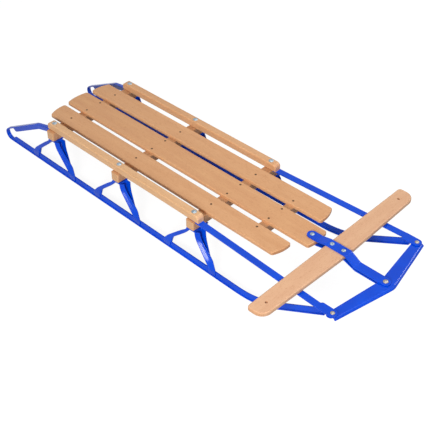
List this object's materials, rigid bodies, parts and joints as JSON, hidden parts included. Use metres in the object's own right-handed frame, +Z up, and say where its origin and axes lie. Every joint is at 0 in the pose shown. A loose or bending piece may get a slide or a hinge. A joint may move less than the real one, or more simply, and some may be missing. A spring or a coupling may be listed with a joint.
{
  "type": "steerable sled",
  "caption": "Low sled with a slatted wooden deck on pressed knees and steel runners, steered by a pivoting cross bar that swings the bumper and flexes the runners' front ends.",
  "frame": {"origin": "on the snow under the runners, midway between them and half way along the sled", "axes": "+X forward, +Y to the rider's left, +Z up"},
  "size_m": [1.2179, 0.56, 0.1402],
  "materials": {
    "slat_wood": "clear lacquered beech",
    "rail_wood": "clear lacquered beech",
    "bar_wood": "clear lacquered beech",
    "blue_paint": "gloss enamel",
    "zinc_steel": "bright zinc plate",
    "nickel_steel": "nickel plate"
  },
  "bodies": {
    "root": {"slat_centre": "slat_wood", "slat_left": "slat_wood", "slat_right": "slat_wood", "bench_rear": "slat_wood", "bench_middle": "slat_wood", "bench_front": "slat_wood", "bench_nose": "slat_wood", "rail_left": "rail_wood", "rail_right": "rail_wood", "knee_rear_left": "blue_paint", "knee_rear_right": "blue_paint", "knee_middle_left": "blue_paint", "knee_middle_right": "blue_paint", "knee_front_left": "blue_paint", "knee_front_right": "blue_paint", "runner_rear_left": "blue_paint", "runner_rear_right": "blue_paint", "side_bar_rear_left": "blue_paint", "side_bar_rear_right": "blue_paint", "rail_bolts_left": "zinc_steel", "rail_bolts_right": "zinc_steel", "pivot_screw": "zinc_steel"},
    "steering": {"steering_bar": "bar_wood", "strap_upper": "blue_paint", "strap_lower": "blue_paint", "bar_screws": "zinc_steel", "bumper_rivet": "nickel_steel"},
    "bumper": {"bumper": "blue_paint"},
    "front_left": {"runner_front_left": "blue_paint", "side_bar_front_left": "blue_paint", "corner_rivet_left": "nickel_steel"},
    "front_right": {"runner_front_right": "blue_paint", "side_bar_front_right": "blue_paint", "corner_rivet_right": "nickel_steel"}
  },
  "joints": [
    {"name": "steering_pivot", "type": "hinge", "parent": "root", "child": "steering", "pos_m": [0.376, 0, 0.1255], "axis": [0, 0, 1], "range_deg": [-12, 12], "stiffness_Nm_per_rad": 60},
    {"name": "bumper_pivot", "type": "hinge", "parent": "steering", "child": "bumper", "pos_m": [0.586, 0, 0.1122], "axis": [0, 0, 1], "range_deg": [-12, 12]},
    {"name": "flex_left", "type": "hinge", "parent": "root", "child": "front_left", "pos_m": [0.351, 0.1572, 0], "axis": [0, 0, 1], "range_deg": [-12, 12]},
    {"name": "flex_right", "type": "hinge", "parent": "root", "child": "front_right", "pos_m": [0.351, -0.1572, 0], "axis": [0, 0, 1], "range_deg": [-12, 12]}
  ],
  "couplings": [
    {"joint": "bumper_pivot", "follows": "steering_pivot", "ratio": -1},
    {"joint": "flex_left", "follows": "steering_pivot", "ratio": 1},
    {"joint": "flex_right", "follows": "steering_pivot", "ratio": 1}
  ]
}
